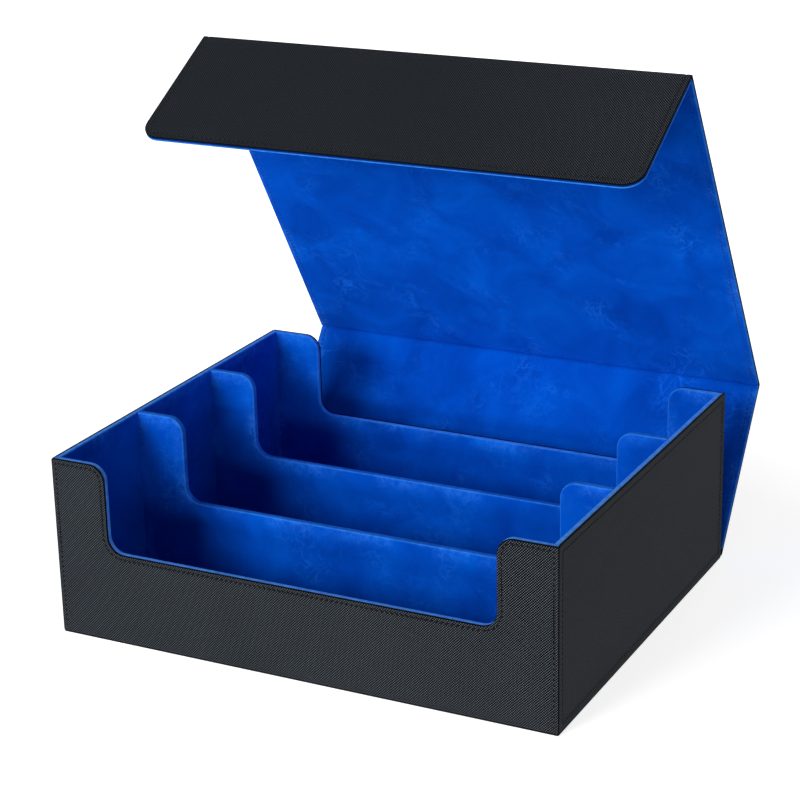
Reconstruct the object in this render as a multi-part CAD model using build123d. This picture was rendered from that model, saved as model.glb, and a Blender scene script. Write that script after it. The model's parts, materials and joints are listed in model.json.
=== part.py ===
from build123d import *
import os
from math import cos, radians, sin

# Trading card storage box. A tray of covered boards holds three rows of cards. A cover of three
# panels, the spine, the lid and the flap, folds on its own leatherette: it rises from the tray's
# rear bottom edge, wraps over the rows and closes on magnets in the front wall.
# X runs along the rows, Y to the rear and Z up. The origin is the middle of the tray's underside.
# The cover stands half open, as it is left while cards are sorted.

# Tray, measured outside
tray_width = 321.0
tray_depth = 262.0
tray_height = 111.0
row_names = ("front", "middle", "rear")
divider_names = ("front", "rear")

# Boards and skins
wall_board = 3.0
floor_board = 3.0
divider_board = 3.0
panel_board = 2.0
leatherette = 0.8
tray_suede = 0.8
cover_suede = 0.6

# Scoop in the front wall, the back wall and the dividers, between the posts left at the two sides
post_width = 36.0
scoop_depth = 54.0
scoop_floor_radius = 10.0
scoop_shoulder_radius = 10.0

# Folding cover. The tray stands out past it by the inset, and the closed flap hangs below the scoop.
# The suede is turned round the edges of the panels' boards, to meet the leatherette outside.
cover_inset = 0.5
flap_overlap = 33.9
flap_corner_radius = 12.0
closing_gap = 1.0
fold_inner_radius = 0.4
fold_clearance = 0.3

# Fold of each hinge as the cover stands, in degrees: 0 lies flat, 90 is closed
spine_fold = 54.7
lid_fold = 66.7
flap_fold = 88.2

# Closing magnets
magnet_diameter = 12.0
flap_magnet_thickness = 1.4
wall_magnet_thickness = 2.0
magnet_spacing = 190.0
magnet_edge_inset = 14.0
magnet_clearance = 0.1

# Tray sizes that follow
half_width = tray_width / 2
half_depth = tray_depth / 2
wall_thickness = leatherette + wall_board + tray_suede
divider_thickness = divider_board + 2 * tray_suede
floor_top = leatherette + floor_board
board_half_width = half_width - leatherette
inner_half_width = half_width - wall_thickness
inner_half_depth = half_depth - wall_thickness
scoop_half_width = half_width - post_width
scoop_floor = tray_height - scoop_depth
dividers_depth = len(divider_names) * divider_thickness
row_width = (2 * inner_half_depth - dividers_depth) / len(row_names)
row_pitch = row_width + divider_thickness

# Cover sizes that follow. Each hinge axis lies inside the fold of the leatherette, and a panel is
# measured from the axis: along the panel, and across it towards the lined side.
cover_half_width = half_width - cover_inset
panel_thickness = leatherette + panel_board + cover_suede
axis_depth = fold_inner_radius + leatherette
lined_face = panel_thickness - axis_depth
skin_face = leatherette - axis_depth
board_face = skin_face + panel_board
fold_setback = lined_face + cover_suede + fold_clearance
hinge_offset = closing_gap + lined_face
spine_length = tray_height + hinge_offset - axis_depth
lid_length = tray_depth + 2 * hinge_offset
flap_free_edge = hinge_offset + scoop_depth + flap_overlap
magnet_reach = flap_free_edge - magnet_edge_inset

# Angle of each panel above the ground, from the folds
spine_angle = spine_fold
lid_angle = spine_angle + lid_fold
flap_angle = lid_angle + flap_fold


def along(axis, angle, length):
    """Point at a length from a hinge axis, along a panel that stands at an angle."""
    return axis + Vector(0, cos(radians(angle)), sin(radians(angle))) * length


spine_axis = Vector(0, half_depth + hinge_offset, axis_depth)
lid_axis = along(spine_axis, spine_angle, spine_length)
flap_axis = along(lid_axis, lid_angle, lid_length)


def block(low, high):
    """Box between two corners."""
    low, high = Vector(low), Vector(high)
    size = high - low
    return Pos(low + size / 2) * Box(size.X, size.Y, size.Z)


def scooped_outline(half, bottom, inset):
    """Wall outline in X and Z with the scoop in its top edge. Top and scoop are drawn in by an inset."""
    top = tray_height - inset
    side = scoop_half_width + inset
    dip = scoop_floor - inset
    right = [(half, bottom), (half, top), (side, top), (side, dip)]
    left = [(-x, z) for x, z in reversed(right)]
    outline = make_face(Polyline(*right, *left, close=True))
    dip_corners = outline.vertices().group_by(Axis.Y)[1]
    outline = fillet(dip_corners, scoop_floor_radius + inset)
    shoulders = outline.vertices().group_by(Axis.Y)[-1].sort_by(Axis.X)[1:-1]
    return fillet(shoulders, scoop_shoulder_radius - inset)


def slab(outline, front, back):
    """Outline in X and Z carried from a front Y to a back Y."""
    plane = Plane((0, back, 0), x_dir=(1, 0, 0), z_dir=(0, -1, 0))
    return extrude(plane * outline, back - front)


def base_cover():
    """Leatherette under the tray."""
    return block((-half_width, -half_depth, 0), (half_width, half_depth, leatherette))


def tray_floor_board():
    """Board that the walls and dividers stand on."""
    depth = half_depth - leatherette
    return block((-board_half_width, -depth, leatherette), (board_half_width, depth, floor_top))


def end_wall_board():
    """Front board with its scoop; the back board is its mirror image."""
    front = -half_depth + leatherette
    return slab(scooped_outline(board_half_width, floor_top, tray_suede), front, front + wall_board)


def end_wall_lining():
    """Suede on the inside of the front wall and over its top edge and scoop."""
    front = -half_depth + leatherette
    wrapped = slab(scooped_outline(board_half_width, floor_top, 0), front, front + wall_board)
    sheet = slab(scooped_outline(inner_half_width, floor_top, 0), front + wall_board, -inner_half_depth)
    return wrapped - end_wall_board() + sheet


def end_wall_skin():
    """Leatherette face of the front wall, as high as the lined edge; the back skin is its mirror image."""
    outline = scooped_outline(half_width, leatherette, 0)
    return slab(outline, -half_depth, -half_depth + leatherette)


def side_board():
    """Right-hand board, between the front and the back boards."""
    depth = half_depth - leatherette - wall_board
    inside = board_half_width - wall_board
    return block((inside, -depth, floor_top), (board_half_width, depth, tray_height - tray_suede))


def side_lining():
    """Suede on the inside of the right-hand wall and over its top edge."""
    depth = half_depth - leatherette - wall_board
    over_edge = block((inner_half_width, -depth, floor_top), (board_half_width, depth, tray_height))
    return over_edge - side_board()


def side_cover():
    """Right-hand skin, between the front and the back skins."""
    depth = half_depth - leatherette
    return block((board_half_width, -depth, leatherette), (half_width, depth, tray_height))


def divider_middle(index):
    """Y of a divider's middle."""
    return -inner_half_depth + (index + 1) * row_pitch - divider_thickness / 2


def divider_core(index):
    """Board inside a divider."""
    middle = divider_middle(index)
    outline = scooped_outline(inner_half_width, floor_top, tray_suede)
    return slab(outline, middle - divider_board / 2, middle + divider_board / 2)


def divider_sleeve(index):
    """Suede folded over a divider's board, down both of its faces."""
    middle = divider_middle(index)
    outline = scooped_outline(inner_half_width, floor_top, 0)
    sleeve = slab(outline, middle - divider_thickness / 2, middle + divider_thickness / 2)
    return sleeve - divider_core(index)


def row_floor_lining(index):
    """Suede on the floor of one row."""
    front = -inner_half_depth + index * row_pitch
    low = (-inner_half_width, front, floor_top)
    return block(low, (inner_half_width, front + row_width, floor_top + tray_suede))


def wall_magnets(clearance=0.0):
    """Magnets in the front board, behind its skin, where the closed flap's magnets come to lie."""
    height = tray_height + hinge_offset - magnet_reach
    radius = magnet_diameter / 2 + clearance
    face = Plane((0, -half_depth + leatherette, height), x_dir=(1, 0, 0), z_dir=(0, 1, 0))
    return magnet_pair(face, radius, wall_magnet_thickness)


def magnet_pair(face, radius, thickness):
    """Two discs that start on a face and go down into its board."""
    discs = [Pos(side * magnet_spacing / 2, 0) * Circle(radius) for side in (-1, 1)]
    return extrude(face * Sketch(children=discs), thickness)


def panel_block(inset, start, end, low, high):
    """Flat block of a cover panel, drawn in from the cover's two sides by an inset."""
    half = cover_half_width - inset
    return block((-half, start, low), (half, end, high))


def panel_layers(length):
    """Skin, board and lining of a panel between two folds. The lining is turned round its two sides."""
    start, end = fold_setback, length - fold_setback
    board = panel_block(cover_suede, start, end, skin_face, board_face)
    skin = panel_block(0, start, end, -axis_depth, skin_face)
    lining = panel_block(0, start, end, skin_face, lined_face) - board
    return skin, board, lining


def flap_slab(inset, low, high):
    """Flap outline with its rounded free corners, drawn in by an inset on its three free sides."""
    half = cover_half_width - inset
    end = flap_free_edge - inset
    corners = [(-half, fold_setback), (half, fold_setback), (half, end), (-half, end)]
    outline = make_face(Polyline(*corners, close=True))
    free_corners = outline.vertices().group_by(Axis.Y)[-1]
    outline = fillet(free_corners, flap_corner_radius - inset)
    return extrude(Plane((0, 0, low)) * outline, high - low)


def flap_magnets(clearance=0.0):
    """Magnets in the flap's board, under its lining."""
    face = Plane((0, magnet_reach, board_face), x_dir=(1, 0, 0), z_dir=(0, 0, -1))
    return magnet_pair(face, magnet_diameter / 2 + clearance, flap_magnet_thickness)


def flap_layers():
    """Skin, board and lining of the flap. The lining is turned round its three free sides."""
    board = flap_slab(cover_suede, skin_face, board_face)
    skin = flap_slab(0, -axis_depth, skin_face)
    lining = flap_slab(0, skin_face, lined_face) - board
    return skin, board - flap_magnets(magnet_clearance), lining


def turned(fold, distance, height):
    """Point of the panel beyond a fold, in the frame of the panel before it."""
    c, s = cos(radians(fold)), sin(radians(fold))
    return (distance * c - height * s, distance * s + height * c)


def across_cover(edges):
    """Closed profile in Y and Z carried across the cover's width."""
    return extrude(Plane.YZ * make_face(edges), cover_half_width, both=True)


def fold_skin(fold, before):
    """Leatherette at a hinge: a flat leg, an arc about the axis and a flat leg to the next panel."""
    inner, outer = fold_inner_radius, axis_depth
    edges = [
        CenterArc((0, 0), outer, -90, fold),
        CenterArc((0, 0), inner, -90, fold),
        Polyline((0, -inner), (-before, -inner), (-before, -outer), (0, -outer)),
        Polyline(
            turned(fold, 0, -inner),
            turned(fold, fold_setback, -inner),
            turned(fold, fold_setback, -outer),
            turned(fold, 0, -outer),
        ),
    ]
    return across_cover(edges)


def fold_lining(fold):
    """Suede at a hinge: it dips from one lining to the skin in the fold and rises to the next lining."""
    low, high = -fold_inner_radius, lined_face
    near = fold_setback - cover_suede
    bottom = low + cover_suede
    edges = [
        CenterArc((0, 0), fold_inner_radius, -90, fold),
        Polyline(
            turned(fold, 0, low),
            turned(fold, fold_setback, low),
            turned(fold, fold_setback, high),
            turned(fold, near, high),
            turned(fold, near, bottom),
            (-near, bottom),
            (-near, high),
            (-fold_setback, high),
            (-fold_setback, low),
            (0, low),
        ),
    ]
    return across_cover(edges)


def at_hinge(axis, angle, shape):
    """Panel or fold set on its hinge axis at its angle."""
    return Pos(axis) * Rot(angle, 0, 0) * shape


def tray_parts():
    """The tray's pieces by name."""
    parts = {
        "base_cover": base_cover(),
        "floor_board": tray_floor_board(),
        "front_board": end_wall_board() - wall_magnets(magnet_clearance),
        "back_board": mirror(end_wall_board(), about=Plane.XZ),
        "front_cover": end_wall_skin(),
        "back_cover": mirror(end_wall_skin(), about=Plane.XZ),
        "front_lining": end_wall_lining(),
        "back_lining": mirror(end_wall_lining(), about=Plane.XZ),
        "wall_magnets": wall_magnets(),
    }
    sides = {"board": side_board(), "cover": side_cover(), "lining": side_lining()}
    for layer, shape in sides.items():
        parts["right_" + layer] = shape
        parts["left_" + layer] = mirror(shape, about=Plane.YZ)
    for index, name in enumerate(divider_names):
        parts[name + "_divider_board"] = divider_core(index)
        parts[name + "_divider_sleeve"] = divider_sleeve(index)
    for index, name in enumerate(row_names):
        parts[name + "_row_floor_lining"] = row_floor_lining(index)
    return parts


def cover_parts():
    """The cover's panels and folds by name, as the cover stands."""
    parts = {}
    panels = {
        "spine": (spine_axis, spine_angle, panel_layers(spine_length)),
        "lid": (lid_axis, lid_angle, panel_layers(lid_length)),
        "flap": (flap_axis, flap_angle, flap_layers()),
    }
    for name, (axis, angle, layers) in panels.items():
        for layer, shape in zip(("cover", "board", "lining"), layers):
            parts[name + "_" + layer] = at_hinge(axis, angle, shape)
    parts["flap_magnets"] = at_hinge(flap_axis, flap_angle, flap_magnets())
    parts["spine_fold_skin"] = at_hinge(spine_axis, 0, fold_skin(spine_fold, hinge_offset))
    parts["lid_fold_skin"] = at_hinge(lid_axis, spine_angle, fold_skin(lid_fold, fold_setback))
    parts["lid_fold_lining"] = at_hinge(lid_axis, spine_angle, fold_lining(lid_fold))
    parts["flap_fold_skin"] = at_hinge(flap_axis, lid_angle, fold_skin(flap_fold, fold_setback))
    parts["flap_fold_lining"] = at_hinge(flap_axis, lid_angle, fold_lining(flap_fold))
    return parts


os.makedirs("parts", exist_ok=True)
for name, shape in {**tray_parts(), **cover_parts()}.items():
    export_step(shape, "parts/" + name + ".step")
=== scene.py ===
import json

import bmesh
import bpy
import numpy as np
from mathutils import Matrix, Vector


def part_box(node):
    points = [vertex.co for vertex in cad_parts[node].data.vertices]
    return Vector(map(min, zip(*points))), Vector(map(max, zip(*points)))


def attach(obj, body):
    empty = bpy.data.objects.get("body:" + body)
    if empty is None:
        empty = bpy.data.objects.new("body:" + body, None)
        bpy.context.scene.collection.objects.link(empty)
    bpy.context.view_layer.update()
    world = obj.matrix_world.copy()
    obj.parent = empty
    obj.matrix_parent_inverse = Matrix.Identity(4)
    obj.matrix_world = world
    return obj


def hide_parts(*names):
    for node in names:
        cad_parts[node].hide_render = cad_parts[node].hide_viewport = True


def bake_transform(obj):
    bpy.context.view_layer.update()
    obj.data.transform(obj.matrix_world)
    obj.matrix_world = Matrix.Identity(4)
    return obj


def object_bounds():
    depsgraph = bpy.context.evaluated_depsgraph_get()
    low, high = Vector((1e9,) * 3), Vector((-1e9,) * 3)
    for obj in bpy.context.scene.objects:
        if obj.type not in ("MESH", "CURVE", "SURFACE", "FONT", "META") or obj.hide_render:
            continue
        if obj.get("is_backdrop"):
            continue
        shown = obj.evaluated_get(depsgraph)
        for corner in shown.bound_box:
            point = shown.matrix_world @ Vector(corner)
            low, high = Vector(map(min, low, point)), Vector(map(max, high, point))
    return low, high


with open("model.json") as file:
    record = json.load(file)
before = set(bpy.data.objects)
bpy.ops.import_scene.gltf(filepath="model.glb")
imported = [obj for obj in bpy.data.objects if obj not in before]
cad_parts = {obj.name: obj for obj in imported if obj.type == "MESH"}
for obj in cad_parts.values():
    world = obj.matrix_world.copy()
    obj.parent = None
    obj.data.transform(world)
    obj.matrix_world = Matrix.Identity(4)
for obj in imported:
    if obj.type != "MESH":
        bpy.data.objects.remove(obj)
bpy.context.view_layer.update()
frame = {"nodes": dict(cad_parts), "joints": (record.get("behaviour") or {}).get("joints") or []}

# Trading card storage box: a tray of covered boards with three rows, in a folding cover of three panels.
# The boards and magnets of the frame stay as they are inside. Every skin, lining, fold and stitch
# is a closed thin solid built here. Lengths are in millimetres until a mesh is made.
MM = 0.001
# Edges that turn by more than this are shaded sharp
SHARP_ANGLE = np.radians(38)
# Points on each arc, longest straight run between two points, and radius where a corner has no arc to see
ARC_POINTS = 9
RUN_STEP = 12.0
TIGHT_RADIUS = 0.05


def corners_of(node):
    """Lowest and highest corner of a node of the frame, in millimetres."""
    low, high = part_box(node)
    return np.array(low) / MM, np.array(high) / MM


def hinge(name):
    """Y and Z of a hinge axis, and its fold in radians as the cover stands."""
    joint = next(j for j in frame["joints"] if j["name"] == name)
    return np.array(joint["pos_m"][1:]) / MM, np.radians(-joint["range_deg"][0])


# Tray, from the frame. Names such as leatherette, tray_suede and panel_board are thicknesses
half_width, half_depth, leatherette = corners_of("base_cover")[1]
tray_top = corners_of("front_cover")[1][2]
floor_low, floor_high = corners_of("front_row_floor_lining")
inner_half_width = floor_high[0]
inner_half_depth = -floor_low[1]
floor_board_top = floor_low[2]
tray_suede = floor_high[2] - floor_board_top
board_half_width = half_width - leatherette

# Scoop in the end walls and the dividers
post_width = 36.0
scoop_depth = 54.0
scoop_radius = 10.0
scoop_half_width = half_width - post_width
scoop_floor = tray_top - scoop_depth

# Hinges, and the cover's panels measured from them
spine_axis, spine_fold = hinge("spine_hinge")
lid_axis, lid_fold = hinge("lid_hinge")
flap_axis, flap_fold = hinge("flap_hinge")
spine_angle = spine_fold
lid_angle = spine_angle + lid_fold
flap_angle = lid_angle + flap_fold
cover_half_width = corners_of("lid_cover")[1][0]
hinge_offset = spine_axis[0] - half_depth
axis_depth = spine_axis[1]
spine_length = np.hypot(*(lid_axis - spine_axis))
lid_length = np.hypot(*(flap_axis - lid_axis))
panel_board = 2.0
cover_suede = 0.6
fold_clearance = 0.3
flap_overlap = 33.9
flap_corner_radius = 12.0
panel_thickness = leatherette + panel_board + cover_suede
lined_face = panel_thickness - axis_depth
fold_setback = lined_face + cover_suede + fold_clearance
flap_free_edge = hinge_offset + scoop_depth + flap_overlap

# Edges, and the stitched borders that are pressed into the skins
skin_edge_radius = 0.5
skin_corner_radius = 1.2
lip_width = 0.4
suede_corner_radius = 0.9
suede_reach = 9.5
rim_radius = 0.7
wall_border = 2.8
side_border = 4.6
cover_border = 3.6
border_half_width = 0.75
border_depth = 0.22
border_shoulder_share = 0.85
border_fade = 5.0
# Stitches are thicker than real thread, so that they show
stitch_pitch = 3.1
stitch_length = 2.4
stitch_width = 1.3
stitch_slant = np.radians(7)
stitch_shares = (-1.0, -0.85, -0.5, 0.0, 0.5, 0.85, 1.0)
stitch_sides = 6
stitch_tip_share = 0.04
skin_stitch_sink = 0.12
suede_stitch_sink = 0.1
# Suede in the folds, and where a lining reaches behind the next one
valley_depth = 1.9
valley_power = 1.3
sheet_tuck = 0.4

# How pale the strips over the wall edges look, from fuzz and painted sheen highlight: as a spot at this
# distance from an edge
front_rim_fuzz_and_sheen = -0.3
side_rim_fuzz_and_sheen = -0.8
divider_rim_fuzz_and_sheen = 0.3


# Closed solids

def points(x, y, z):
    """Points from three coordinates, which are spread to one shape."""
    return np.stack(np.broadcast_arrays(x, y, z), axis=-1)


def ring_solid(grid, lie):
    """Closed solid from rows of points. Every row is a closed ring, quads join each ring to the next,
    and a flat face closes the first and the last ring."""
    rows, columns = grid.shape[:2]
    index = np.arange(rows * columns).reshape(rows, columns)
    following = np.roll(index, -1, axis=1)
    quads = np.stack([index[:-1], following[:-1], following[1:], index[1:]], axis=-1)
    return grid.reshape(-1, 3), [quads.reshape(-1, 4), index[:1], index[-1:]], lie.reshape(-1, 3)


def open_ring_solid(grid, lie):
    """Closed solid from rows of points that are open at a straight side. Quads join each row to the
    next, a flat face closes the first and the last row, and one more closes the straight side."""
    rows, columns = grid.shape[:2]
    index = np.arange(rows * columns).reshape(rows, columns)
    quads = np.stack([index[:-1, :-1], index[:-1, 1:], index[1:, 1:], index[1:, :-1]], axis=-1)
    side = np.concatenate([index[:, 0], index[::-1, -1]])[None]
    return grid.reshape(-1, 3), [quads.reshape(-1, 4), index[:1], index[-1:], side], lie.reshape(-1, 3)


def make_piece(name, solids, material, replaced=()):
    """One object from closed solids in millimetres, at its place in its mesh. The attribute panel_mm
    holds each point's place across and along its panel and its distance from the panel's edge, which is
    negative past the edge."""
    starts = np.cumsum([0] + [len(solid[0]) for solid in solids])
    faces = [(block + start).tolist() for start, solid in zip(starts, solids) for block in solid[1]]
    mesh = bpy.data.meshes.new(name)
    places = np.concatenate([solid[0] for solid in solids]) * MM
    mesh.from_pydata(places.tolist(), [], sum(faces, []))
    lie = np.concatenate([solid[2] for solid in solids]).astype(np.float32)
    mesh.attributes.new("panel_mm", "FLOAT_VECTOR", "POINT").data.foreach_set("vector", lie.ravel())
    shell = bmesh.new()
    shell.from_mesh(mesh)
    bmesh.ops.recalc_face_normals(shell, faces=shell.faces)
    shell.to_mesh(mesh)
    shell.free()
    mesh.shade_smooth()
    mesh.set_sharp_from_angle(angle=SHARP_ANGLE)
    mesh.materials.append(material)
    piece = bpy.data.objects.new(name, mesh)
    bpy.context.scene.collection.objects.link(piece)
    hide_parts(*replaced)
    return piece


# Outlines and plates

def rounded_outline(corners, radii):
    """Closed outline through corners, each turned by an arc. An arc starts radius times the tangent of
    half the turn before its corner, and its points swing about a centre a radius to the side."""
    corners = np.array(corners, float)
    radii = np.maximum(radii, TIGHT_RADIUS)
    inward = corners - np.roll(corners, 1, axis=0)
    inward /= np.linalg.norm(inward, axis=1, keepdims=True)
    outward = np.roll(inward, -1, axis=0)
    cross = inward[:, 0] * outward[:, 1] - inward[:, 1] * outward[:, 0]
    turn = np.arctan2(cross, (inward * outward).sum(axis=1))
    start = corners - inward * (radii * np.tan(np.abs(turn) / 2))[:, None]
    side = np.stack([-inward[:, 1], inward[:, 0]], axis=1) * np.sign(turn)[:, None]
    centre = start + side * radii[:, None]
    spoke = (start - centre)[:, None]
    swing = turn[:, None] * np.linspace(0, 1, ARC_POINTS)
    c, s = np.cos(swing), np.sin(swing)
    swung = [c * spoke[..., 0] - s * spoke[..., 1], s * spoke[..., 0] + c * spoke[..., 1]]
    return (centre[:, None] + np.stack(swung, axis=-1)).reshape(-1, 2)


def scooped_outline(half, bottom, radius):
    """Outline of a scooped wall in X and Z, as a function of how far it is drawn in all round."""
    def drawn_in(inset):
        side, low, top = half - inset, bottom + inset, tray_top - inset
        mouth, dip = scoop_half_width + inset, scoop_floor - inset
        right = [(side, low), (side, top), (mouth, top), (mouth, dip)]
        left = [(-x, z) for x, z in reversed(right)]
        radii = [radius - inset, radius - inset, scoop_radius - inset, scoop_radius + inset]
        return rounded_outline(right + left, radii + radii[::-1])
    return drawn_in


def plain_outline(low, high, radius):
    """Rectangle with rounded corners between two corners, as a function of how far it is drawn in."""
    def drawn_in(inset):
        (left, bottom), (right, top) = np.array(low) + inset, np.array(high) - inset
        corners = [(left, bottom), (right, bottom), (right, top), (left, top)]
        return rounded_outline(corners, [radius - inset] * len(corners))
    return drawn_in


def divided(outlines):
    """Outlines with long straight runs divided, all of them at the shares that suit the first."""
    runs = np.roll(outlines, -1, axis=1) - outlines
    counts = np.ceil(np.linalg.norm(runs[0], axis=1) / RUN_STEP).astype(int).clip(1)
    run = np.repeat(np.arange(len(counts)), counts)
    share = (np.arange(len(run)) - np.repeat(np.cumsum(counts) - counts, counts)) / counts[run]
    return outlines[:, run] + runs[:, run] * share[:, None]


def quarter_round(radius, steps=4):
    """Inset and depth along a rounded edge, from the face to the side: a quarter of a circle."""
    swing = np.linspace(0, np.pi / 2, steps + 1)
    return np.stack([radius * (1 - np.sin(swing)), radius * (1 - np.cos(swing))], axis=1)


def skin_rows(border, lip=0.0):
    """Insets, depths and shares of the border's press, from a skin's face over its edge to its back. A
    lip makes the edge thicker, where the skin is turned over a board."""
    shoulder = border_half_width / 2
    face = [
        (border + 3 * shoulder, 0, 0),
        (border + 2 * shoulder, 0, 0),
        (border + shoulder, 0, border_shoulder_share),
        (border, 0, 1),
        (border - shoulder, 0, border_shoulder_share),
        (border - 2 * shoulder, 0, 0),
        (2 * skin_edge_radius, 0, 0),
    ]
    edge = [(inset, depth, 0) for inset, depth in quarter_round(skin_edge_radius)]
    return np.array(face + edge + [(0, leatherette + lip, 0)])


def layer_rows(radius, back_depth):
    """Insets, depths and shares of a press, from a layer's plain face over its round edge to its back."""
    edge = [(inset, depth, 0) for inset, depth in quarter_round(radius)]
    return np.array([(suede_reach, 0, 0), (2 * radius, 0, 0)] + edge + [(0, back_depth, 0)])


def plate(outline, rows, place, pressed=None):
    """Closed plate. Each row draws the outline in by its inset and sets it at its depth, and the press
    goes deeper by its share. Place turns across, up and depth into points."""
    insets, depths, shares = rows.T[:, :, None]
    rings = divided(np.stack([outline(inset) for inset in insets[:, 0]]))
    across, up = rings[..., 0], rings[..., 1]
    press = border_depth * (1.0 if pressed is None else pressed(up))
    return ring_solid(place(across, up, depths + shares * press), points(across, up, insets - depths))


def on_front(across, up, depth):
    """Front wall: across is X, up is Z and the depth goes to the rear."""
    return points(across, depth - half_depth, up)


def on_back(across, up, depth):
    """Back wall: across is X, up is Z and the depth goes to the front."""
    return points(across, half_depth - depth, up)


def on_right(across, up, depth):
    """Right-hand wall: across is Y, up is Z and the depth goes to the left."""
    return points(half_width - depth, across, up)


def on_left(across, up, depth):
    """Left-hand wall: across is Y, up is Z and the depth goes to the right."""
    return points(depth - half_width, across, up)


def on_base(across, up, depth):
    """Underside: across is X, up is Y and the depth goes to the top."""
    return points(across, up, depth)


def on_panel(axis, angle):
    """Cover panel on its hinge axis: along runs from the axis, height goes towards the lined side."""
    def place(across, along, height):
        y = axis[0] + along * np.cos(angle) - height * np.sin(angle)
        z = axis[1] + along * np.sin(angle) + height * np.cos(angle)
        return points(across, y, z)
    return place


def from_face(place, face, direction):
    """Placing with depths counted from a face, in the direction that goes into the wall."""
    return lambda across, up, depth: place(across, up, face + direction * depth)


# Bands and stitches that follow an outline

def upper_run(outline):
    """The outline's points from its lower right corner round to its lower left corner."""
    return outline[ARC_POINTS // 2:-(ARC_POINTS // 2)]


def top_run(outline, half):
    """The outline's points along its top and scoop, from one side to the other."""
    run = outline[2 * ARC_POINTS:-2 * ARC_POINTS]
    return np.concatenate([[(half, tray_top)], run, [(-half, tray_top)]])


def band_profile(front, back, radius):
    """Depths and shares of the thickness round a strip's profile: up a quarter of a circle at its front,
    along its top to its back, and back below."""
    inset, drop = quarter_round(radius)[::-1].T
    depths = np.concatenate([front + inset, [back, back, front]])
    return depths, np.concatenate([drop / tray_suede, [0, 1, 1]])


def edge_band(half, bottom, profile, wear_and_sheen, place):
    """Strip over a scooped wall's edge: its profile carried along the top and the scoop."""
    rim = top_run(scooped_outline(half, bottom, suede_corner_radius)(0), half)
    under = top_run(scooped_outline(half, bottom, suede_corner_radius)(tray_suede), half)
    under[[0, -1], 1] = tray_top - tray_suede
    depths, shares = profile
    lines = rim[:, None] + shares[:, None] * (under - rim)[:, None]
    across, up = lines[..., 0], lines[..., 1]
    return ring_solid(place(across, up, depths), points(across, up, wear_and_sheen))


def straight_band(half, profile, wear_and_sheen, place):
    """Strip over a straight wall's edge: its profile carried from one end to the other."""
    depths, shares = profile
    across = np.array([-half, half])[:, None]
    up = tray_top - shares * tray_suede
    return ring_solid(place(across, up, depths), points(across, up, wear_and_sheen))


def thread_form():
    """One stitch: along, across and height. It is a tube that narrows to its ends by a fourth power
    and bows down into its needle holes."""
    along = np.array(stitch_shares)[:, None]
    turn = np.linspace(0, 2 * np.pi, stitch_sides, endpoint=False)
    narrowing = along ** 4
    radius = stitch_width / 2 * (1 + stitch_tip_share - narrowing)
    height = radius * np.sin(turn) - stitch_width / 2 * narrowing
    return points(stitch_length / 2 * along, radius * np.cos(turn), height)


def stitches(run, place, sink, closed=False):
    """Stitches at an even pitch along a run of points, each turned to the run and slanted a little, and
    drawn into the face by the sink."""
    if closed:
        run = np.concatenate([run, run[:1]])
    steps = np.diff(run, axis=0)
    length = np.concatenate([[0], np.cumsum(np.linalg.norm(steps, axis=1))])
    count = int(length[-1] // stitch_pitch)
    middle = (np.arange(count) + 0.5) * length[-1] / count
    step = steps[np.searchsorted(length, middle).clip(1, len(steps)) - 1]
    heading = np.arctan2(step[:, 1], step[:, 0]) + stitch_slant
    spot = np.stack([np.interp(middle, length, run[:, i]) for i in (0, 1)], axis=1)[:, None, None]
    form = thread_form()
    c, s = np.cos(heading)[:, None, None], np.sin(heading)[:, None, None]
    across = spot[..., 0] + form[..., 0] * c - form[..., 1] * s
    up = spot[..., 1] + form[..., 0] * s + form[..., 1] * c
    places = place(across, up, sink - form[..., 2]).reshape(-1, 3)
    one_stitch, one_faces, one_lie = ring_solid(form, form)
    starts = np.arange(count)[:, None, None] * len(one_stitch)
    faces = [(block + starts).reshape(-1, block.shape[1]) for block in one_faces]
    return places, faces, np.tile(one_lie, (count, 1))


# Cover panels

def wrapped_rows():
    """Rows of a panel's lining: its face, round the board's edge to the skin, and back on the board."""
    side = panel_thickness - leatherette
    inside = [(cover_suede, side, 0), (cover_suede, cover_suede, 0), (suede_reach, cover_suede, 0)]
    return np.concatenate([layer_rows(cover_suede, side), inside])


def panel_profile(rows):
    """Closed profile across a panel in X and depth: the rows on the right, then back on the left."""
    across = cover_half_width - rows[:, 0]
    depth = rows[:, 1] + rows[:, 2] * border_depth
    edge = rows[:, 0] - rows[:, 1]
    edge = np.concatenate([edge, edge[::-1]])
    return np.concatenate([across, -across[::-1]]), np.concatenate([depth, depth[::-1]]), edge


def panel_layer(rows, length, place):
    """Layer of a panel between two folds: its profile carried from one fold to the other."""
    across, depth, edge = panel_profile(rows)
    along = np.array([fold_setback, length - fold_setback])[:, None]
    return ring_solid(place(across, along, depth), points(across, along, edge))


def flap_run(inset):
    """The flap's free sides from its fold on the right round to its fold on the left."""
    low = (-cover_half_width, fold_setback - 2 * flap_corner_radius)
    outline = plain_outline(low, (cover_half_width, flap_free_edge), flap_corner_radius)(inset)
    free = outline[2 * ARC_POINTS:]
    side = cover_half_width - inset
    return np.concatenate([[(side, fold_setback)], free, [(-side, fold_setback)]])


def flap_layer(rows, place):
    """Layer of the flap: each row draws its free sides in by an inset and sets them at a depth."""
    lines = np.stack([flap_run(inset) for inset in rows[:, 0]])
    across, along = lines[..., 0], lines[..., 1]
    depth = (rows[:, 1] + rows[:, 2] * border_depth)[:, None]
    edge = (rows[:, 0] - rows[:, 1])[:, None]
    return open_ring_solid(place(across, along, depth), points(across, along, edge))


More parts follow.
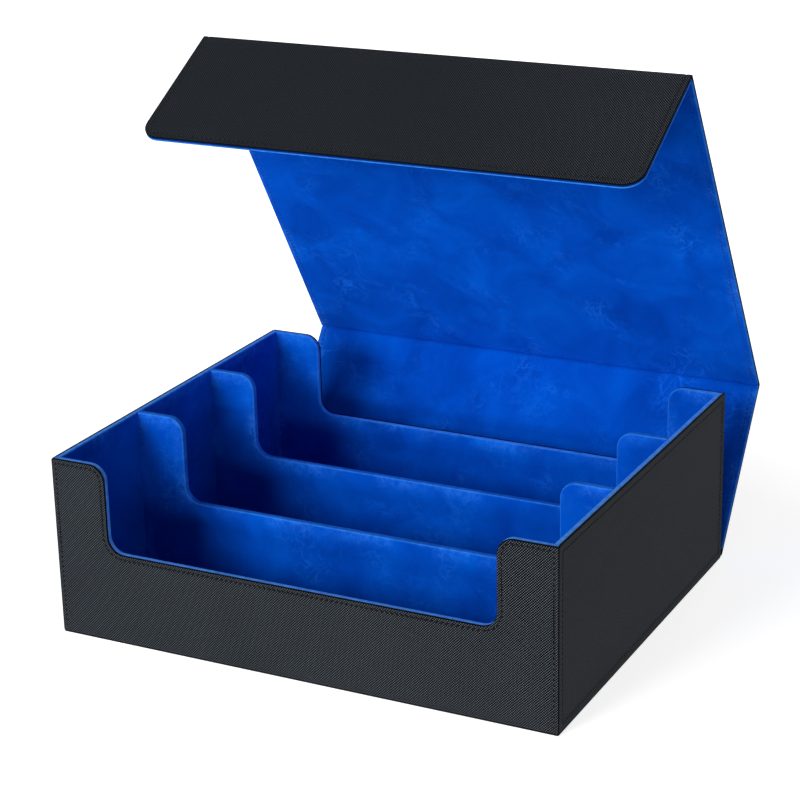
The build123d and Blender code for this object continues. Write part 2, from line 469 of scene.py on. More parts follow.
def fold_skin(axis, angle, fold, before):
    """Leatherette at a hinge: its profile runs straight to the axis, turns about it and runs on."""
    across, depth, edge = panel_profile(skin_rows(cover_border))
    arc = np.linspace(0, fold, ARC_POINTS)
    turn = np.concatenate([[0], arc, [fold]])[:, None]
    along = np.concatenate([[-before], 0 * arc, [fold_setback]])[:, None]
    height = depth - axis_depth
    y = along * np.cos(turn) - height * np.sin(turn)
    z = along * np.sin(turn) + height * np.cos(turn)
    lie = points(across, along + axis_depth * turn, edge)
    return ring_solid(on_panel(axis, angle)(across, y, z), lie)


def lined_corner(fold):
    """Distance from a hinge axis to the ends of the lined faces, and half the angle between these."""
    return np.hypot(fold_setback, lined_face), np.arctan2(fold_setback, lined_face) - fold / 2


def fold_lining(axis, angle, fold):
    """Suede at a hinge. About the axis it keeps to the inner side of the fold: its distance falls from
    the panels' faces to the valley in the middle, by a power of the share of the angle between them."""
    shoulder, half_angle = lined_corner(fold)
    share = np.linspace(1, -1, 2 * ARC_POINTS - 1)[:, None]
    valley = shoulder * np.cos(half_angle) - valley_depth
    distance = valley + (shoulder - valley) * np.abs(share) ** valley_power
    across, depth, edge = panel_profile(layer_rows(cover_suede, cover_suede))
    direction = np.pi / 2 + fold / 2 + share * half_angle
    radius = distance - depth
    y, z = radius * np.cos(direction), radius * np.sin(direction)
    return ring_solid(on_panel(axis, angle)(across, y, z), points(across, -share * shoulder, edge))


def bend(piece):
    """Applies the transform of a piece at a fold to its mesh."""
    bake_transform(piece)


# Materials

def linear(hex_colour):
    """Linear colour of an sRGB hex value, by the sRGB curve: straight near black, then a power."""
    value = np.array([int(hex_colour[i:i + 2], 16) for i in (1, 3, 5)]) / 255
    value = np.where(value <= 0.04045, value / 12.92, ((value + 0.055) / 1.055) ** 2.4)
    return (*value, 1.0)


# Sockets of a mix node that takes and gives a colour
MIX_A = 6
MIX_B = 7
MIX_COLOUR = 2


def node(tree, kind, inputs=None, shades=(), **settings):
    """Adds a node with its settings. An input is a value, or a socket that is linked to it, and shades
    are the levels and hex colours along a ramp."""
    made = tree.nodes.new(kind)
    for key, value in settings.items():
        setattr(made, key, value)
    for level, shade in shades[1:-1]:
        made.color_ramp.elements.new(level).color = linear(shade)
    for end in (0, -1) if shades else ():
        made.color_ramp.elements[end].position = shades[end][0]
        made.color_ramp.elements[end].color = linear(shades[end][1])
    for key, value in (inputs or {}).items():
        if isinstance(value, bpy.types.NodeSocket):
            tree.links.new(value, made.inputs[key])
        else:
            made.inputs[key].default_value = value
    return made


def new_material(name):
    """Empty material with its tree and output."""
    material = bpy.data.materials.new(name)
    material.use_nodes = True
    tree = material.node_tree
    tree.nodes.clear()
    return material, tree, tree.nodes.new("ShaderNodeOutputMaterial")


# Twill emboss, in millimetres: ridges at 45 degrees, cut across by a second set at the same spacing
TWILL_PITCH = 1.12
TWILL_HEIGHT = 0.16
TWILL_TURN = -np.pi / 4
SMOOTH_EDGE = 0.5
WORN_PATCH = 60
# Heights over which the cover is painted darker as painted shade, with fainter painted highlights
SHADED_COVER_HEIGHTS = (120, 260)
# A wave texture of scale 1 repeats after this length
WAVE_LENGTH = np.pi / 10
# Share of a ridge that is left in a cut, and of the painted ridge highlights at the left end, from the
# middle to the right end of the cover where it is painted in shade, and on the side walls
CUT_SHARE = 0.3
LEFT_SHARE = 0.7
SHADED_COVER_SHARES = (0.3, 0.75)
SIDE_SHARE = 0.4
WEAR = (0.92, 1.08)
# The light ridge colour is a painted highlight and the black groove colour is painted shade
TWILL_SHADES = ((0.62, "#020304"), (0.8, "#828A96"))
TWILL_ROUGHNESS = (0.64, 0.46)


def twill_leatherette():
    """Polyurethane leatherette, embossed with a fine twill. Its ridges are painted light, a painted
    highlight where they catch the light, and its grooves are painted black as painted shade. The painted
    highlights grow fainter to the left, higher up on the lid and the flap, which are also painted darker
    as painted shade, and on faces turned to the sides, where the light does not glint. Rolled edges are
    smooth and painted near black, a painted shadow at the edge."""
    material, tree, output = new_material("black_twill_leatherette")
    lie = node(tree, "ShaderNodeAttribute", attribute_name="panel_mm").outputs["Vector"]
    turned = node(tree, "ShaderNodeMapping", {"Vector": lie, "Rotation": (0, 0, TWILL_TURN)}).outputs[0]
    scale = WAVE_LENGTH / TWILL_PITCH
    ridges = node(tree, "ShaderNodeTexWave", {"Vector": turned, "Scale": scale}, bands_direction="Y")
    cuts = node(tree, "ShaderNodeTexWave", {"Vector": turned, "Scale": scale}, bands_direction="X")
    cut = node(tree, "ShaderNodeMapRange", {
        "Value": cuts.outputs["Fac"], "To Min": CUT_SHARE, "To Max": 1.0}).outputs[0]
    twill = node(tree, "ShaderNodeMath", {
        0: ridges.outputs["Fac"], 1: cut}, operation="MULTIPLY").outputs[0]
    place = node(tree, "ShaderNodeTexCoord").outputs["Object"]
    spot = node(tree, "ShaderNodeSeparateXYZ", {"Vector": place}).outputs
    # Painted ridge highlights fade towards the left end
    pressed = node(tree, "ShaderNodeMapRange", {
        "Value": spot["X"], "From Min": -half_width * MM, "From Max": half_width * MM,
        "To Min": LEFT_SHARE, "To Max": 1.0}).outputs[0]
    cover_glint_share = node(tree, "ShaderNodeMapRange", {
        "Value": spot["X"], "From Max": half_width * MM,
        "To Min": SHADED_COVER_SHARES[0], "To Max": SHADED_COVER_SHARES[1]}).outputs[0]
    cover_shade = node(tree, "ShaderNodeMapRange", {
        "Value": spot["Z"], "From Min": SHADED_COVER_HEIGHTS[0] * MM,
        "From Max": SHADED_COVER_HEIGHTS[1] * MM}).outputs[0]
    cover_glint = node(tree, "ShaderNodeMapRange", {
        "Value": cover_shade, "To Min": 1.0, "To Max": cover_glint_share}).outputs[0]
    # The plain colour goes darker up the cover: painted shade on the lid and the flap
    plain = node(tree, "ShaderNodeMix", {
        "Factor": cover_shade, MIX_A: linear("#292E34"), MIX_B: linear("#1E2227")},
        data_type="RGBA").outputs[MIX_COLOUR]
    # Painted ridge highlights are weaker on faces turned to the sides, where the light does not glint
    outward = node(tree, "ShaderNodeNewGeometry").outputs["Normal"]
    sideways = node(tree, "ShaderNodeSeparateXYZ", {"Vector": outward}).outputs["X"]
    turned_away = node(tree, "ShaderNodeMath", {0: sideways}, operation="ABSOLUTE").outputs[0]
    side_glint_share = node(tree, "ShaderNodeMapRange", {
        "Value": turned_away, "To Min": 1.0, "To Max": SIDE_SHARE}).outputs[0]
    edge = node(tree, "ShaderNodeSeparateXYZ", {"Vector": lie}).outputs["Z"]
    flat = node(tree, "ShaderNodeMapRange", {"Value": edge, "From Max": SMOOTH_EDGE}).outputs[0]
    kept = node(tree, "ShaderNodeMath", {0: pressed, 1: cover_glint}, operation="MULTIPLY").outputs[0]
    left = node(tree, "ShaderNodeMath", {0: kept, 1: side_glint_share}, operation="MULTIPLY").outputs[0]
    share = node(tree, "ShaderNodeMath", {0: left, 1: flat}, operation="MULTIPLY").outputs[0]
    shown = node(tree, "ShaderNodeMath", {0: share, 1: twill}, operation="MULTIPLY").outputs[0]
    cloud = node(tree, "ShaderNodeTexNoise", {
        "Vector": place, "Scale": 1 / (WORN_PATCH * MM), "Detail": 3.0}).outputs["Fac"]
    wear_and_sheen = node(tree, "ShaderNodeMapRange", {
        "Value": cloud, "To Min": WEAR[0], "To Max": WEAR[1]}).outputs[0]
    worn = node(tree, "ShaderNodeMath", {0: twill, 1: wear_and_sheen}, operation="MULTIPLY").outputs[0]
    embossed = node(tree, "ShaderNodeValToRGB", {"Fac": worn}, TWILL_SHADES).outputs["Color"]
    grained = node(tree, "ShaderNodeMix", {
        "Factor": share, MIX_A: plain, MIX_B: embossed}, data_type="RGBA").outputs[MIX_COLOUR]
    # The rolled edge is painted near black: a painted shadow along the edge
    edge_shadow = node(tree, "ShaderNodeMapRange", {
        "Value": edge, "From Min": SMOOTH_EDGE, "From Max": SMOOTH_EDGE / 2}).outputs[0]
    colour = node(tree, "ShaderNodeMix", {
        "Factor": edge_shadow, MIX_A: grained, MIX_B: linear("#050608")},
        data_type="RGBA").outputs[MIX_COLOUR]
    gloss = node(tree, "ShaderNodeMapRange", {
        "Value": shown, "To Min": TWILL_ROUGHNESS[0], "To Max": TWILL_ROUGHNESS[1]}).outputs[0]
    bump = node(tree, "ShaderNodeBump", {
        "Height": shown, "Strength": 0.3, "Distance": TWILL_HEIGHT * MM}).outputs[0]
    shader = node(tree, "ShaderNodeBsdfPrincipled", {
        "Base Color": colour, "Roughness": gloss, "Normal": bump, "Specular IOR Level": 0.03})
    tree.links.new(shader.outputs[0], output.inputs["Surface"])
    return material


# Nap of the suede, in millimetres. Its fibres are about 0.1 mm thick, and are drawn at 0.9 mm so that
# they show
NAP_CLOUD = 38
NAP_STROKE = 11
NAP_PATCH = 30
NAP_SCUFF = 3.5
NAP_FIBRE = 0.9
NAP_DEPTH = 0.25
FUZZ_TUFT = 4.0
FUZZ_AND_SHEEN_EDGE = (-0.8, 0.9)
SHADED_EDGE = (-0.9, -1.8)
SCUFFED_EDGE = 9.0
# Levels of the noises: the middle value, how far a stroke spreads from it, and where patches of strokes,
# patches of scuffs, scuffs and tufts begin and are full
NOISE_MIDDLE = 0.5
STROKE_SPREAD = 0.06
STROKED = (0.5, 0.78)
RUBBED = (0.4, 0.55)
SCUFFED = (0.42, 0.72)
TUFTED = (0.38, 0.62)
SCUFF_SHARES = (0.15, 0.75)
TUFT_SHARE = 0.6
FIBRE_SHARE = 0.25
DYE_SHADES = ((0.42, "#0042AE"), (0.62, "#004EC2"), (0.86, "#005ED6"))


def royal_blue_suede(name, fuzz_and_sheen, sheen):
    """Brushed microfibre suede, dyed royal blue: matt, with a nap that lies lighter and darker in clouds.
    Thin curved strokes and scuffs below the edges lie against the nap and look paler. The edges are
    painted
    paler too: pale fuzz, and partly a painted sheen highlight. Past an edge, where the suede is glued
    down, it is painted dark as painted shade."""
    material, tree, output = new_material(name)
    place = node(tree, "ShaderNodeTexCoord").outputs["Object"]
    lie = node(tree, "ShaderNodeAttribute", attribute_name="panel_mm").outputs["Vector"]
    edge = node(tree, "ShaderNodeSeparateXYZ", {"Vector": lie}).outputs["Z"]
    clouds = node(tree, "ShaderNodeTexNoise", {
        "Vector": place, "Scale": 1 / (NAP_CLOUD * MM), "Detail": 4.0, "Roughness": 0.55,
        "Distortion": 0.6}).outputs["Fac"]
    fibres = node(tree, "ShaderNodeTexNoise", {
        "Vector": place, "Scale": 1 / (NAP_FIBRE * MM), "Detail": 2.0}).outputs["Fac"]
    nap = node(tree, "ShaderNodeMath", {
        0: fibres, 1: FIBRE_SHARE, 2: clouds}, operation="MULTIPLY_ADD").outputs[0]
    dyed = node(tree, "ShaderNodeValToRGB", {"Fac": nap}, DYE_SHADES).outputs["Color"]
    # A stroke runs where a distorted noise passes its middle value, and only in some patches
    wander = node(tree, "ShaderNodeTexNoise", {
        "Vector": place, "Scale": 1 / (NAP_STROKE * MM), "Detail": 3.0, "Distortion": 1.0}).outputs["Fac"]
    off = node(tree, "ShaderNodeMath", {0: wander, 1: NOISE_MIDDLE}, operation="SUBTRACT").outputs[0]
    away = node(tree, "ShaderNodeMath", {0: off}, operation="ABSOLUTE").outputs[0]
    stroke = node(tree, "ShaderNodeMapRange", {
        "Value": away, "From Max": STROKE_SPREAD, "To Min": 1.0, "To Max": 0.0}).outputs[0]
    patches = node(tree, "ShaderNodeTexNoise", {
        "Vector": place, "Scale": 1 / (NAP_PATCH * MM), "Detail": 3.0}).outputs["Fac"]
    patch = node(tree, "ShaderNodeMapRange", {
        "Value": patches, "From Min": STROKED[0], "From Max": STROKED[1]}).outputs[0]
    marked = node(tree, "ShaderNodeMath", {0: stroke, 1: patch}, operation="MULTIPLY").outputs[0]
    rubbed = node(tree, "ShaderNodeTexNoise", {
        "Vector": place, "Scale": 1 / (NAP_SCUFF * MM), "Detail": 4.0, "Distortion": 1.0}).outputs["Fac"]
    rub = node(tree, "ShaderNodeMapRange", {
        "Value": rubbed, "From Min": SCUFFED[0], "From Max": SCUFFED[1],
        "To Min": SCUFF_SHARES[0], "To Max": SCUFF_SHARES[1]}).outputs[0]
    near = node(tree, "ShaderNodeMapRange", {
        "Value": edge, "From Max": SCUFFED_EDGE, "To Min": 1.0, "To Max": 0.0}).outputs[0]
    rubbing = node(tree, "ShaderNodeMapRange", {
        "Value": patches, "From Min": RUBBED[0], "From Max": RUBBED[1]}).outputs[0]
    spread = node(tree, "ShaderNodeMath", {0: rubbing, 1: near}, operation="MULTIPLY").outputs[0]
    scuff = node(tree, "ShaderNodeMath", {0: rub, 1: spread}, operation="MULTIPLY").outputs[0]
    broken = node(tree, "ShaderNodeMath", {0: marked, 1: fibres}, operation="MULTIPLY").outputs[0]
    stroked = node(tree, "ShaderNodeMix", {
        "Factor": broken, MIX_A: dyed, MIX_B: linear("#2278F0")}, data_type="RGBA").outputs[MIX_COLOUR]
    brushed = node(tree, "ShaderNodeMix", {
        "Factor": scuff, MIX_A: stroked, MIX_B: linear("#3080F6")}, data_type="RGBA").outputs[MIX_COLOUR]
    # Edges painted paler: pale fuzz, and partly a painted sheen highlight
    rim = node(tree, "ShaderNodeMapRange", {
        "Value": edge, "From Min": FUZZ_AND_SHEEN_EDGE[0], "From Max": FUZZ_AND_SHEEN_EDGE[1],
        "To Min": 1.0, "To Max": 0.0}).outputs[0]
    tufts = node(tree, "ShaderNodeTexNoise", {
        "Vector": place, "Scale": 1 / (FUZZ_TUFT * MM), "Detail": 3.0}).outputs["Fac"]
    tuft = node(tree, "ShaderNodeMapRange", {
        "Value": tufts, "From Min": TUFTED[0], "From Max": TUFTED[1], "To Min": TUFT_SHARE}).outputs[0]
    fringe = node(tree, "ShaderNodeMath", {0: rim, 1: tuft}, operation="MULTIPLY").outputs[0]
    rimmed = node(tree, "ShaderNodeMix", {
        "Factor": fringe, MIX_A: brushed, MIX_B: linear(fuzz_and_sheen)}, data_type="RGBA").outputs[MIX_COLOUR]
    # Painted shade: past an edge the suede is painted dark navy
    pressed = node(tree, "ShaderNodeMapRange", {
        "Value": edge, "From Min": SHADED_EDGE[0], "From Max": SHADED_EDGE[1]}).outputs[0]
    colour = node(tree, "ShaderNodeMix", {
        "Factor": pressed, MIX_A: rimmed, MIX_B: linear("#012A72")}, data_type="RGBA").outputs[MIX_COLOUR]
    bump = node(tree, "ShaderNodeBump", {
        "Height": nap, "Strength": 0.35, "Distance": NAP_DEPTH * MM}).outputs[0]
    shader = node(tree, "ShaderNodeBsdfPrincipled", {
        "Base Color": colour, "Roughness": 0.95, "Specular IOR Level": 0.02, "Normal": bump,
        "Sheen Weight": sheen, "Sheen Roughness": 0.4, "Sheen Tint": linear("#3C8CFF")})
    tree.links.new(shader.outputs[0], output.inputs["Surface"])
    return material


# Ply of the thread, in millimetres, as coarse as the thick stitches need
THREAD_PLY = 0.7
THREAD_PLY_DEPTH = stitch_width / 8
THREAD_TWIST = np.pi / 5


def sewing_thread(name, hollow, crown):
    """Two-ply polyester sewing thread: painted darker in the hollows of its ply as painted shade, and
    lighter on the crowns as a painted highlight, with slight gloss.
    """
    material, tree, output = new_material(name)
    lie = node(tree, "ShaderNodeAttribute", attribute_name="panel_mm").outputs["Vector"]
    turned = node(tree, "ShaderNodeMapping", {"Vector": lie, "Rotation": (0, 0, THREAD_TWIST)}).outputs[0]
    ply = node(tree, "ShaderNodeTexWave", {
        "Vector": turned, "Scale": WAVE_LENGTH / THREAD_PLY}).outputs["Fac"]
    # Painted shade in the hollows of the ply and painted highlight on its crowns
    colour = node(tree, "ShaderNodeValToRGB", {"Fac": ply}, ((0.0, hollow), (1.0, crown))).outputs["Color"]
    bump = node(tree, "ShaderNodeBump", {
        "Height": ply, "Strength": 0.6, "Distance": THREAD_PLY_DEPTH * MM}).outputs[0]
    shader = node(tree, "ShaderNodeBsdfPrincipled", {
        "Base Color": colour, "Roughness": 0.65, "Specular IOR Level": 0.15, "Normal": bump})
    tree.links.new(shader.outputs[0], output.inputs["Surface"])
    return material


# Flecks of the pulp and the depth of its surface, in millimetres
PULP_FLECK = 2.5
PULP_DEPTH = 0.1
PULP_SHADES = ((0.3, "#7C766B"), (0.5, "#9E978A"), (0.72, "#B9B2A5"))


def greyboard():
    """Pressed grey binder's board: pulp with darker and lighter flecks, quite matt."""
    material, tree, output = new_material("pressed_greyboard")
    place = node(tree, "ShaderNodeTexCoord").outputs["Object"]
    pulp = node(tree, "ShaderNodeTexNoise", {
        "Vector": place, "Scale": 1 / (PULP_FLECK * MM), "Detail": 5.0}).outputs["Fac"]
    colour = node(tree, "ShaderNodeValToRGB", {"Fac": pulp}, PULP_SHADES).outputs["Color"]
    bump = node(tree, "ShaderNodeBump", {
        "Height": pulp, "Strength": 0.4, "Distance": PULP_DEPTH * MM}).outputs[0]
    shader = node(tree, "ShaderNodeBsdfPrincipled", {
        "Base Color": colour, "Roughness": 0.92, "Normal": bump})
    tree.links.new(shader.outputs[0], output.inputs["Surface"])
    return material


# Clouding of the plate, in millimetres
PLATING_CLOUD = 3.0
PLATING_SHADES = ((0.3, "#B9B6AE"), (0.7, "#CFCCC4"))
PLATING_ROUGHNESS = (0.22, 0.38)


def nickel_plate():
    """Nickel plate on a disc magnet: bright, with the faint clouding of a barrel-plated surface."""
    material, tree, output = new_material("barrel_plated_nickel")
    place = node(tree, "ShaderNodeTexCoord").outputs["Object"]
    cloud = node(tree, "ShaderNodeTexNoise", {
        "Vector": place, "Scale": 1 / (PLATING_CLOUD * MM), "Detail": 4.0}).outputs["Fac"]
    colour = node(tree, "ShaderNodeValToRGB", {"Fac": cloud}, PLATING_SHADES).outputs["Color"]
    gloss = node(tree, "ShaderNodeMapRange", {
        "Value": cloud, "To Min": PLATING_ROUGHNESS[0], "To Max": PLATING_ROUGHNESS[1]}).outputs[0]
    shader = node(tree, "ShaderNodeBsdfPrincipled", {
        "Base Color": colour, "Metallic": 1.0, "Roughness": gloss})
    tree.links.new(shader.outputs[0], output.inputs["Surface"])
    return material


leather = twill_leatherette()
black = sewing_thread("black_polyester_thread", hollow="#020203", crown="#0A0B0D")
charcoal = sewing_thread("charcoal_polyester_thread", hollow="#111317", crown="#1F2328")
navy = sewing_thread("navy_polyester_thread", hollow="#0142A6", crown="#024AB6")
# The strips over the wall edges get a paler edge colour, more painted sheen highlight, and full sheen
suede = royal_blue_suede("royal_blue_brushed_suede", fuzz_and_sheen="#3A94FF", sheen=0.08)
edge_suede = royal_blue_suede("royal_blue_edge_strip_suede", fuzz_and_sheen="#66ABFF", sheen=1.0)
board = greyboard()
nickel = nickel_plate()
for name, cad_node in frame["nodes"].items():
    inner = board if name.endswith("board") else nickel
    cad_node.data.materials.clear()
    cad_node.data.materials.append(inner)


# Tray

def border_above_floor(up):
    """Share of the border's press on the front and back: a smooth step, from none at the bottom edge."""
    share = np.clip((up - wall_border - leatherette) / border_fade, 0, 1)
    return share * share * (3 - 2 * share)


skin_outline = scooped_outline(half_width, leatherette, skin_corner_radius)
for name, place in (("front", on_front), ("back", on_back)):
    skin = plate(skin_outline, skin_rows(wall_border, lip_width), place, border_above_floor)
    piece = make_piece(name + "_wall_leatherette", [skin], leather, [name + "_cover"])
    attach(piece, "tray")
    row = stitches(upper_run(skin_outline(wall_border)), place, skin_stitch_sink)
    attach(make_piece(name + "_wall_stitching", [row], black), "tray")

side_low = (leatherette - half_depth, leatherette)
side_high = (half_depth - leatherette, tray_top)
side_outline = plain_outline(side_low, side_high, skin_corner_radius)
for name, place in (("right", on_right), ("left", on_left)):
    skin = plate(side_outline, skin_rows(side_border, lip_width), place)
    piece = make_piece(name + "_wall_leatherette", [skin], leather, [name + "_cover"])
    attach(piece, "tray")
    row = stitches(side_outline(side_border), place, skin_stitch_sink, closed=True)
    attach(make_piece(name + "_wall_stitching", [row], charcoal), "tray")

base_outline = plain_outline((-half_width, -half_depth), (half_width, half_depth), skin_corner_radius)
base = plate(base_outline, layer_rows(skin_edge_radius, leatherette), on_base)
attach(make_piece("base_leatherette", [base], leather, ["base_cover"]), "tray")

sheet_rows = layer_rows(tray_suede, tray_suede)
inner_depth = half_depth - inner_half_depth
rim_front = leatherette + lip_width
wall_rim = band_profile(rim_front, inner_depth - tray_suede, rim_radius)
lining_outline = scooped_outline(inner_half_width + sheet_tuck, floor_board_top, suede_corner_radius)
for name, place in (("front", on_front), ("back", on_back)):
    sheet = plate(lining_outline, sheet_rows, from_face(place, inner_depth, -1))
    piece = make_piece(name + "_wall_suede", [sheet], suede, [name + "_lining"])
    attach(piece, "tray")
    band = edge_band(board_half_width, floor_board_top, wall_rim, front_rim_fuzz_and_sheen, place)
    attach(make_piece(name + "_wall_top_suede", [band], edge_suede), "tray")

side_half = inner_half_depth + tray_suede
lining_low = (-side_half, floor_board_top)
lining_high = (side_half, tray_top)
side_lining_outline = plain_outline(lining_low, lining_high, suede_corner_radius)
for name, place in (("right", on_right), ("left", on_left)):
    sheet = plate(side_lining_outline, sheet_rows, from_face(place, inner_depth, -1))
    piece = make_piece(name + "_wall_suede", [sheet], suede, [name + "_lining"])
    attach(piece, "tray")
    band = straight_band(side_half, wall_rim, side_rim_fuzz_and_sheen, place)
    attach(make_piece(name + "_wall_top_suede", [band], edge_suede), "tray")

for name in ("front", "rear"):
    low, high = corners_of(name + "_divider_sleeve")
    thickness = high[1] - low[1]
    place = from_face(on_front, low[1] + half_depth, 1)
    faces = [from_face(place, 0, 1), from_face(place, thickness, -1)]
    sheets = [plate(lining_outline, sheet_rows, face) for face in faces]
    rim = band_profile(tray_suede, thickness - tray_suede, TIGHT_RADIUS)
    band = edge_band(inner_half_width, floor_board_top, rim, divider_rim_fuzz_and_sheen, place)
    sleeve = [*sheets, band]
    piece = make_piece(name + "_divider_suede", sleeve, suede, [name + "_divider_sleeve"])
    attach(piece, "tray")

for name in ("front", "middle", "rear"):
    low, high = corners_of(name + "_row_floor_lining")
    outline = plain_outline(low[:2], high[:2], suede_corner_radius)
    solid = plate(outline, layer_rows(tray_suede / 2, tray_suede), from_face(on_base, high[2], -1))
    piece = make_piece(name + "_row_floor_suede", [solid], suede, [name + "_row_floor_lining"])
    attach(piece, "tray")


# Cover

cover_skin = skin_rows(cover_border)
cover_lining = wrapped_rows()
panels = {
    "spine": (spine_axis, spine_angle, spine_length),
    "lid": (lid_axis, lid_angle, lid_length),
    "flap": (flap_axis, flap_angle, flap_free_edge),
}
for name, (axis, angle, length) in panels.items():
    place = on_panel(axis, angle)
    outside = from_face(place, -axis_depth, 1)
    inside = from_face(place, lined_face, -1)
    if name == "flap":
        skin = flap_layer(cover_skin, outside)
        lining = flap_layer(cover_lining, inside)
        runs = [flap_run(cover_border)]
    else:
        skin = panel_layer(cover_skin, length, outside)
        lining = panel_layer(cover_lining, length, inside)
        side = cover_half_width - cover_border
        ends = (fold_setback, length - fold_setback)
        runs = [np.array([(x, end) for end in ends]) for x in (side, -side)]
    piece = make_piece(name + "_leatherette", [skin], leather, [name + "_cover"])
    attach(piece, name)
    piece = make_piece(name + "_suede", [lining], suede, [name + "_lining"])
    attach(piece, name)
    rows = [stitches(run, outside, skin_stitch_sink) for run in runs]
    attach(make_piece(name + "_outer_stitching", rows, charcoal), name)
    rows = [stitches(run, inside, suede_stitch_sink) for run in runs]
    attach(make_piece(name + "_inner_stitching", rows, navy), name)

folds = {
    "spine": ("tray", spine_axis, 0.0, spine_fold, hinge_offset),
    "lid": ("spine", lid_axis, spine_angle, lid_fold, fold_setback),
    "flap": ("lid", flap_axis, lid_angle, flap_fold, fold_setback),
}
for name, (before, axis, angle, fold, leg) in folds.items():
    skin = fold_skin(axis, angle, fold, leg)
    piece = make_piece(name + "_fold_leatherette", [skin], leather, [name + "_fold_skin"])
    bend(piece)
    if before == "tray":
        continue
    lining = fold_lining(axis, angle, fold)
    piece = make_piece(name + "_fold_suede", [lining], suede, [name + "_fold_lining"])
    bend(piece)


# Stage, in metres: white floor that keeps the shadow, and soft light from the front and the rear. The
# grain of the paper is drawn coarser than a real one, so that it shows

PAPER_GRAIN = 0.004
PAPER_SHADES = ((0.3, "#E4E4E4"), (0.7, "#E7E7E7"))
SHADOW_REACH = (0.28, 0.5)
SHADOW_LIFT = 0.745


def white_floor():
    """Matt white paper. The camera sees it lifted to white, less so near the box, where its shadow
    falls, and reflections see it white."""
    material, tree, output = new_material("matt_white_paper")
    light = node(tree, "ShaderNodeLightPath").outputs
    place = node(tree, "ShaderNodeTexCoord").outputs["Object"]
    grain = node(tree, "ShaderNodeTexNoise", {"Vector": place, "Scale": 1 / PAPER_GRAIN}).outputs["Fac"]
    paper = node(tree, "ShaderNodeValToRGB", {"Fac": grain}, PAPER_SHADES).outputs["Color"]
    bounce = node(tree, "ShaderNodeBsdfDiffuse", {"Color": paper})
    reach = node(tree, "ShaderNodeVectorMath", {0: place}, operation="LENGTH").outputs["Value"]
    raised = node(tree, "ShaderNodeMapRange", {
        "Value": reach, "From Min": SHADOW_REACH[0], "From Max": SHADOW_REACH[1],
        "To Min": SHADOW_LIFT, "To Max": 1.0}).outputs[0]
    lift = node(tree, "ShaderNodeEmission", {"Strength": raised})
    lifted = node(tree, "ShaderNodeAddShader", {0: bounce.outputs[0], 1: lift.outputs[0]})
    seen = node(tree, "ShaderNodeMixShader", {
        0: light["Is Camera Ray"], 1: bounce.outputs[0], 2: lifted.outputs[0]})
    mirrored = node(tree, "ShaderNodeMath", {
        0: light["Is Glossy Ray"], 1: light["Is Transmission Ray"]}, operation="MAXIMUM").outputs[0]
    white = node(tree, "ShaderNodeEmission", {"Strength": 1.0})
    shown = node(tree, "ShaderNodeMixShader", {0: mirrored, 1: seen.outputs[0], 2: white.outputs[0]})
    tree.links.new(shown.outputs[0], output.inputs["Surface"])
    return material


floor_half = 9.0
floor_drop = 0.0003
floor_mesh = bpy.data.meshes.new("floor")
corners = floor_half * np.array([(-1, -1), (1, -1), (1, 1), (-1, 1)])
floor_mesh.from_pydata([(x, y, -floor_drop) for x, y in corners], [], [(0, 1, 2, 3)])
floor_mesh.materials.append(white_floor())
floor = bpy.data.objects.new("floor", floor_mesh)
bpy.context.scene.collection.objects.link(floor)
floor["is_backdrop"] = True

AMBIENT = 0.1
room = bpy.data.worlds.new("white_studio")
room.use_nodes = True
room.node_tree.nodes.clear()
light = node(room.node_tree, "ShaderNodeLightPath").outputs
mirrored = node(room.node_tree, "ShaderNodeMath", {
    0: light["Is Glossy Ray"], 1: light["Is Transmission Ray"]}, operation="MAXIMUM").outputs[0]
seen = node(room.node_tree, "ShaderNodeMath", {
    0: light["Is Camera Ray"], 1: mirrored}, operation="MAXIMUM").outputs[0]
ambient = node(room.node_tree, "ShaderNodeBackground", {"Color": linear("#FFFFFF"), "Strength": AMBIENT})
white = node(room.node_tree, "ShaderNodeBackground", {"Color": linear("#FFFFFF"), "Strength": 1.0})
mixed = node(room.node_tree, "ShaderNodeMixShader", {0: seen, 1: ambient.outputs[0], 2: white.outputs[0]})
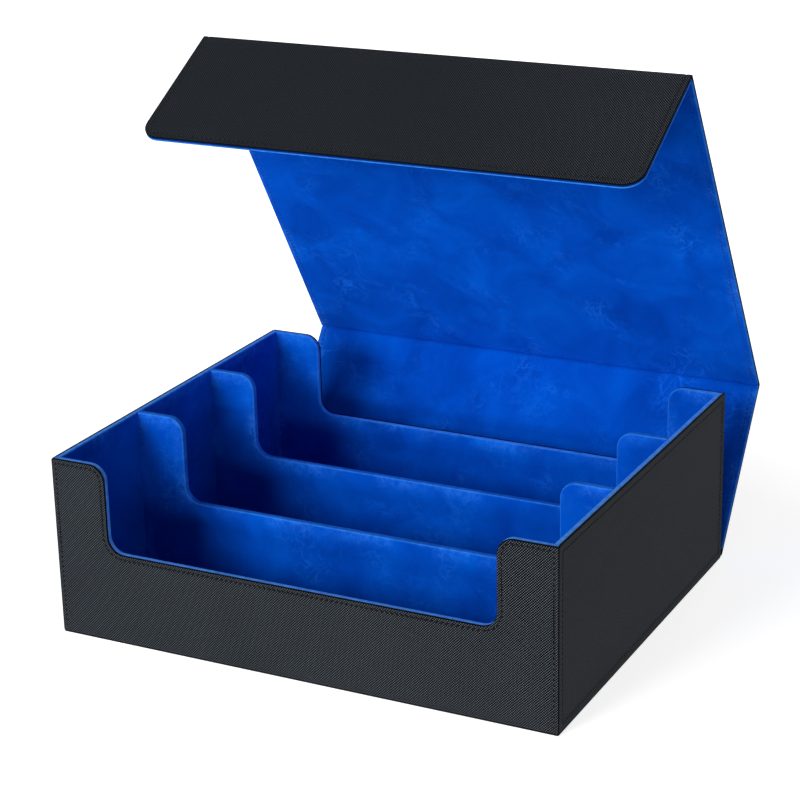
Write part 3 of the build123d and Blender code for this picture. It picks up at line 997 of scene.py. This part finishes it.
node(room.node_tree, "ShaderNodeOutputWorld", {"Surface": mixed.outputs[0]})
bpy.context.scene.world = room


def softbox(name, azimuth, elevation, distance, width, height, power):
    """Lamp that looks at the middle of the box. Azimuth 0 is in front, positive to the right."""
    lamp = bpy.data.lights.new(name, "AREA")
    lamp.shape = "RECTANGLE"
    lamp.size = width
    lamp.size_y = height
    lamp.energy = power
    az, el = np.radians([azimuth, elevation])
    away = Vector((np.sin(az) * np.cos(el), -np.cos(az) * np.cos(el), np.sin(el)))
    lit = bpy.data.objects.new(name, lamp)
    lit.rotation_mode = "QUATERNION"
    lit.rotation_quaternion = away.to_track_quat("Z", "Y")
    lit.location = away * distance + Vector((0, 0, tray_top * MM))
    bpy.context.scene.collection.objects.link(lit)


softbox("key_softbox", azimuth=-19, elevation=22, distance=3.2, width=1.3, height=0.87, power=70)
softbox("front_softbox", azimuth=2, elevation=4, distance=3.4, width=3.1, height=0.6, power=44)
softbox("right_softbox", azimuth=70, elevation=10, distance=3.0, width=1.6, height=0.8, power=7.5)
softbox("rear_softbox", azimuth=170, elevation=14, distance=3.2, width=2.0, height=1.2, power=36)

# Camera at the photograph's view, which is 800 pixels across
image_pixels = 800
focal_pixels = 2320.17
sensor = 36.0
azimuth, elevation, roll = np.radians([27.202, 19.8763, -1.295])
stand = (0.59762, -1.15934, 0.59805)
out = np.cos(elevation)
back = Vector((np.sin(azimuth) * out, -np.cos(azimuth) * out, np.sin(elevation)))
level = Vector((np.cos(azimuth), np.sin(azimuth), 0))
upright = back.cross(level)
right = np.cos(roll) * level + np.sin(roll) * upright
up = np.cos(roll) * upright - np.sin(roll) * level
camera_data = bpy.data.cameras.new("photo_camera")
camera_data.sensor_width = sensor
camera_data.lens = sensor * focal_pixels / image_pixels
camera = bpy.data.objects.new("photo_camera", camera_data)
camera.matrix_world = Matrix.Translation(stand) @ Matrix((right, up, back)).transposed().to_4x4()
bpy.context.scene.collection.objects.link(camera)
bpy.context.scene.camera = camera
bpy.context.scene.view_settings.view_transform = "Standard"

low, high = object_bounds()
